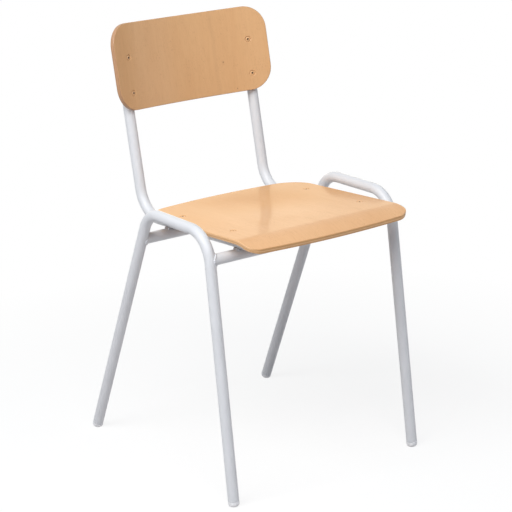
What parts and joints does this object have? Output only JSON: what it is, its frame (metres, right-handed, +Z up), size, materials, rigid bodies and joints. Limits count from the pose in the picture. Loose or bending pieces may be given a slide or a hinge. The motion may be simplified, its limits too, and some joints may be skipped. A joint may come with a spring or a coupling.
{
  "type": "choir chair",
  "caption": "Stacking chair with a welded frame of bent steel tube, a moulded plywood seat with a rolled front edge, and a curved plywood backrest on leaning posts.",
  "frame": {"origin": "on the floor, under the middle of the chair's overall width and depth", "axes": "+Z up, +X to the right as seen from in front, and the sitter faces -Y"},
  "size_m": [0.428, 0.521, 0.794],
  "materials": {
    "powder_coat": "smooth light-grey powder coat, semi-gloss",
    "beech_plywood": "clear satin lacquer on beech veneer, plies open at the edges",
    "grey_plastic": "moulded, fine matt",
    "rivet_aluminium": "plain, dulled",
    "mandrel_steel": "broken end, dark"
  },
  "bodies": {
    "root": {"front_cross_tube": "powder_coat", "rear_cross_tube": "powder_coat", "side_frame_left": "powder_coat", "side_frame_right": "powder_coat", "back_post_left": "powder_coat", "back_post_right": "powder_coat", "cross_weld_front_left": "powder_coat", "cross_weld_front_right": "powder_coat", "cross_weld_rear_left": "powder_coat", "cross_weld_rear_right": "powder_coat", "rail_weld_front_outer_left": "powder_coat", "rail_weld_front_inner_left": "powder_coat", "rail_weld_rear_outer_left": "powder_coat", "rail_weld_rear_inner_left": "powder_coat", "rail_weld_front_outer_right": "powder_coat", "rail_weld_front_inner_right": "powder_coat", "rail_weld_rear_outer_right": "powder_coat", "rail_weld_rear_inner_right": "powder_coat", "seat_shell": "beech_plywood", "backrest_shell": "beech_plywood", "glide_front_left": "grey_plastic", "glide_front_right": "grey_plastic", "glide_rear_left": "grey_plastic", "glide_rear_right": "grey_plastic", "rail_plug_left": "grey_plastic", "rail_plug_right": "grey_plastic", "post_plug_left": "grey_plastic", "post_plug_right": "grey_plastic", "seat_rivet_front_left": "rivet_aluminium", "seat_rivet_front_right": "rivet_aluminium", "seat_rivet_rear_left": "rivet_aluminium", "seat_rivet_rear_right": "rivet_aluminium", "backrest_rivet_upper_left": "rivet_aluminium", "backrest_rivet_upper_right": "rivet_aluminium", "backrest_rivet_lower_left": "rivet_aluminium", "backrest_rivet_lower_right": "rivet_aluminium", "seat_mandrel_front_left": "mandrel_steel", "seat_mandrel_front_right": "mandrel_steel", "seat_mandrel_rear_left": "mandrel_steel", "seat_mandrel_rear_right": "mandrel_steel", "backrest_mandrel_upper_left": "mandrel_steel", "backrest_mandrel_upper_right": "mandrel_steel", "backrest_mandrel_lower_left": "mandrel_steel", "backrest_mandrel_lower_right": "mandrel_steel"}
  },
  "joints": []
}
